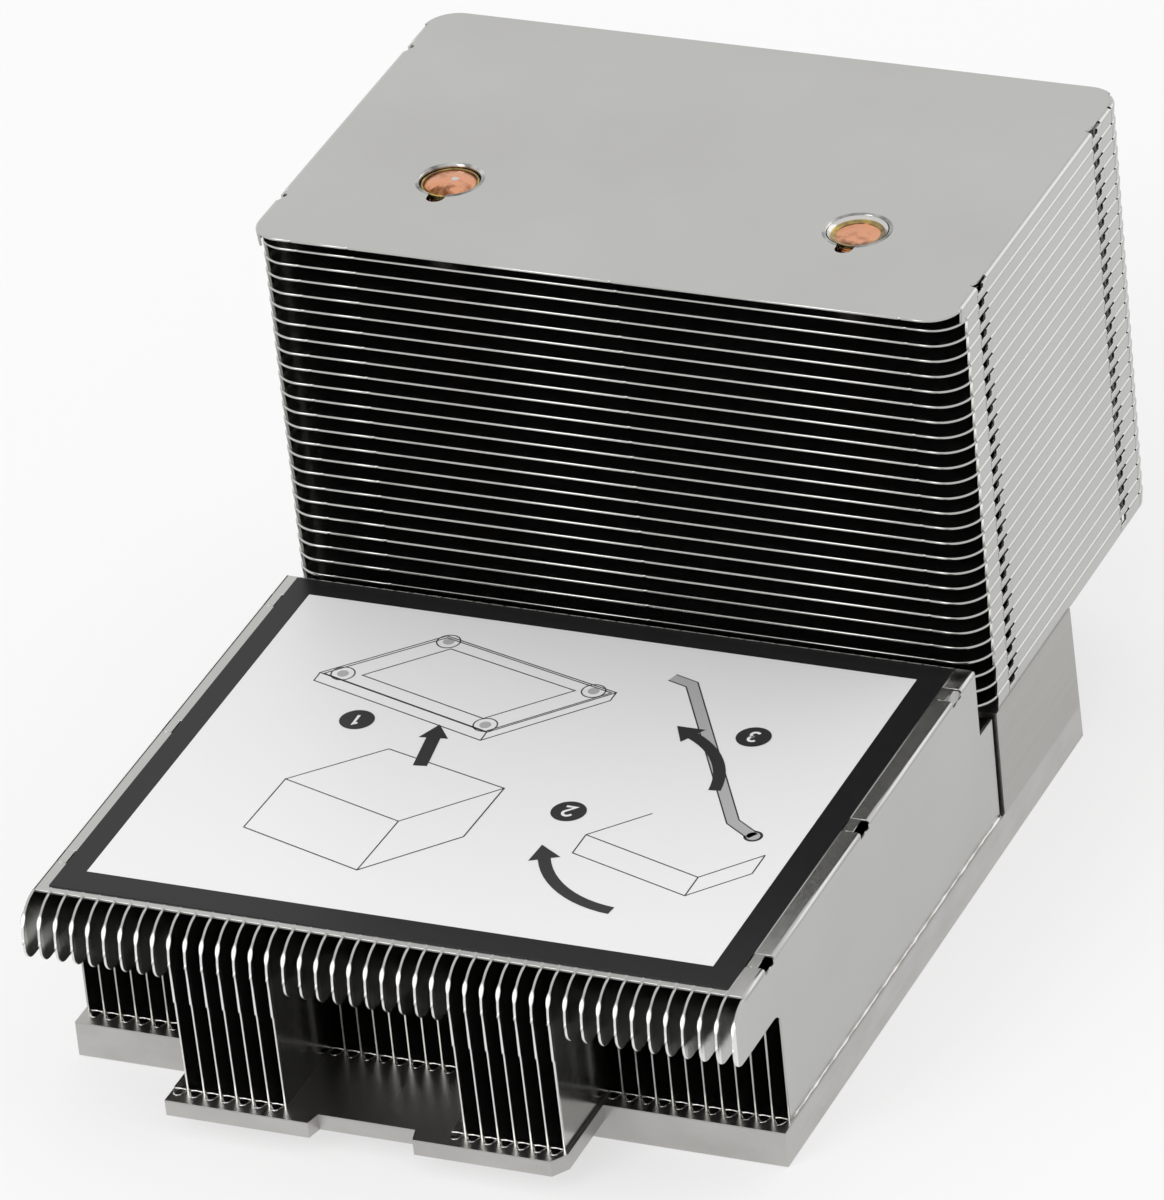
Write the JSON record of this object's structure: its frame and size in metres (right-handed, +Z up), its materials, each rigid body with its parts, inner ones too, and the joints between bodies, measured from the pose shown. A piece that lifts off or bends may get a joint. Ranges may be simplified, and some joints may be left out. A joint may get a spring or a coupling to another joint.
{
  "type": "passive server cpu heatsink",
  "caption": "Passive CPU heatsink for a server: milled base with a rear riser, bent heat pipes, a tall stack of level fins and a low bank of upright fins with a label.",
  "frame": {"origin": "middle of the base plate's underside, the face that rests on the processor", "axes": "+X along the row of upright fins, +Y from the low nosed front to the tall rear stack, +Z up from the base"},
  "size_m": [0.078, 0.1185, 0.0645],
  "materials": {
    "plated_base": "satin",
    "fin_sheet": "satin",
    "copper_pipe": "satin",
    "label_film": "matte"
  },
  "bodies": {
    "root": {"base": "plated_base", "heat_pipe_left": "copper_pipe", "heat_pipe_right": "copper_pipe", "end_fin": "fin_sheet", "nosed_fins_left": "fin_sheet", "long_fins_left": "fin_sheet", "nosed_fins_middle": "fin_sheet", "long_fins_right": "fin_sheet", "nosed_fins_right": "fin_sheet", "label": "label_film", "top_fin": "fin_sheet", "level_fin_01": "fin_sheet", "level_fin_02": "fin_sheet", "level_fin_03": "fin_sheet", "level_fin_04": "fin_sheet", "level_fin_05": "fin_sheet", "level_fin_06": "fin_sheet", "level_fin_07": "fin_sheet", "level_fin_08": "fin_sheet", "level_fin_09": "fin_sheet", "level_fin_10": "fin_sheet", "level_fin_11": "fin_sheet", "level_fin_12": "fin_sheet", "level_fin_13": "fin_sheet", "level_fin_14": "fin_sheet", "level_fin_15": "fin_sheet", "level_fin_16": "fin_sheet", "level_fin_17": "fin_sheet", "level_fin_18": "fin_sheet", "level_fin_19": "fin_sheet", "level_fin_20": "fin_sheet", "level_fin_21": "fin_sheet", "level_fin_22": "fin_sheet", "level_fin_23": "fin_sheet", "level_fin_24": "fin_sheet", "level_fin_25": "fin_sheet", "level_fin_26": "fin_sheet"}
  },
  "joints": []
}
